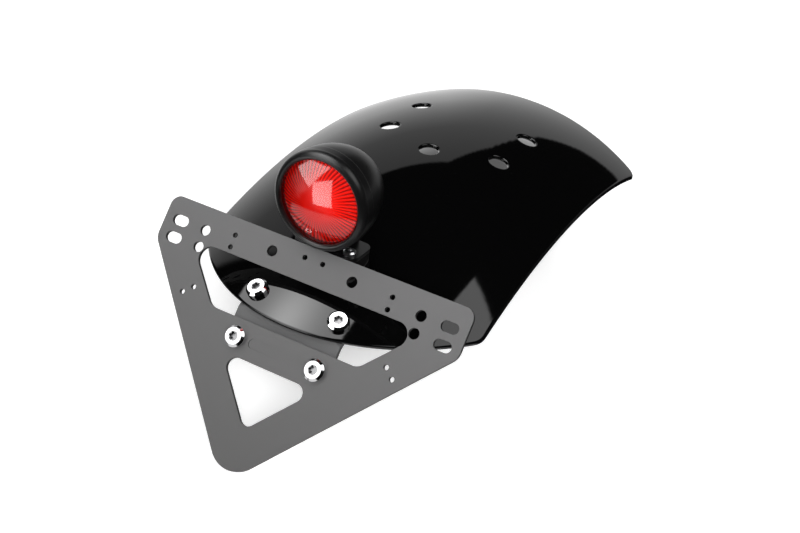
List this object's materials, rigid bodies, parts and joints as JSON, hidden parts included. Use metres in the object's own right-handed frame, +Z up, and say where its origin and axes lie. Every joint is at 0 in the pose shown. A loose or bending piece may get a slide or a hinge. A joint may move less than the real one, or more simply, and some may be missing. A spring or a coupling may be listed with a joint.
{
  "type": "motorcycle rear fender",
  "caption": "Short crowned rear fender with a flat number-plate bracket, a round bullet tail lamp with a red ribbed lens, and a bolt pattern for the frame.",
  "frame": {"origin": "middle of the four frame-bolt holes, level with the fender's outer surface at those holes", "axes": "+X to the machine's right, +Y to its front, +Z up"},
  "size_m": [0.204, 0.3685, 0.1725],
  "materials": {
    "fender_paint": "gloss black paint",
    "bracket_coat": "fine matt dark grey powder coat",
    "lamp_coat": "satin black coat",
    "red_lens": "clear red, ribbed inside",
    "black_rubber": "matt black rubber",
    "reflector_silver": "bright metal layer",
    "board_green": "circuit board",
    "led_white": "LED chip",
    "bright_chrome": "polished chrome",
    "plated_steel": "zinc plated",
    "clear_plastic": "clear, polished"
  },
  "bodies": {
    "root": {"fender_shell": "fender_paint", "plate_bracket": "bracket_coat", "tail_bracket": "bracket_coat", "lamp_housing": "lamp_coat", "lamp_bezel": "lamp_coat", "lamp_lens": "red_lens", "lens_gasket": "black_rubber", "lamp_reflector": "reflector_silver", "led_board": "board_green", "tail_leds": "led_white", "board_screws": "plated_steel", "plate_light_window": "clear_plastic", "plate_light_board": "board_green", "plate_light_leds": "led_white", "lamp_foot": "lamp_coat", "foot_pad": "black_rubber", "wire_grommet": "black_rubber", "fender_bolt_left": "bright_chrome", "fender_washer_left": "plated_steel", "fender_nut_left": "plated_steel", "fender_bolt_right": "bright_chrome", "fender_washer_right": "plated_steel", "fender_nut_right": "plated_steel", "plate_bolt_left": "bright_chrome", "plate_washer_left": "plated_steel", "plate_nut_left": "plated_steel", "plate_bolt_right": "bright_chrome", "plate_washer_right": "plated_steel", "plate_nut_right": "plated_steel", "base_screw_left": "bright_chrome", "foot_bolt_left": "plated_steel", "foot_washer_left": "plated_steel", "base_screw_right": "bright_chrome", "foot_bolt_right": "plated_steel", "foot_washer_right": "plated_steel"}
  },
  "joints": []
}
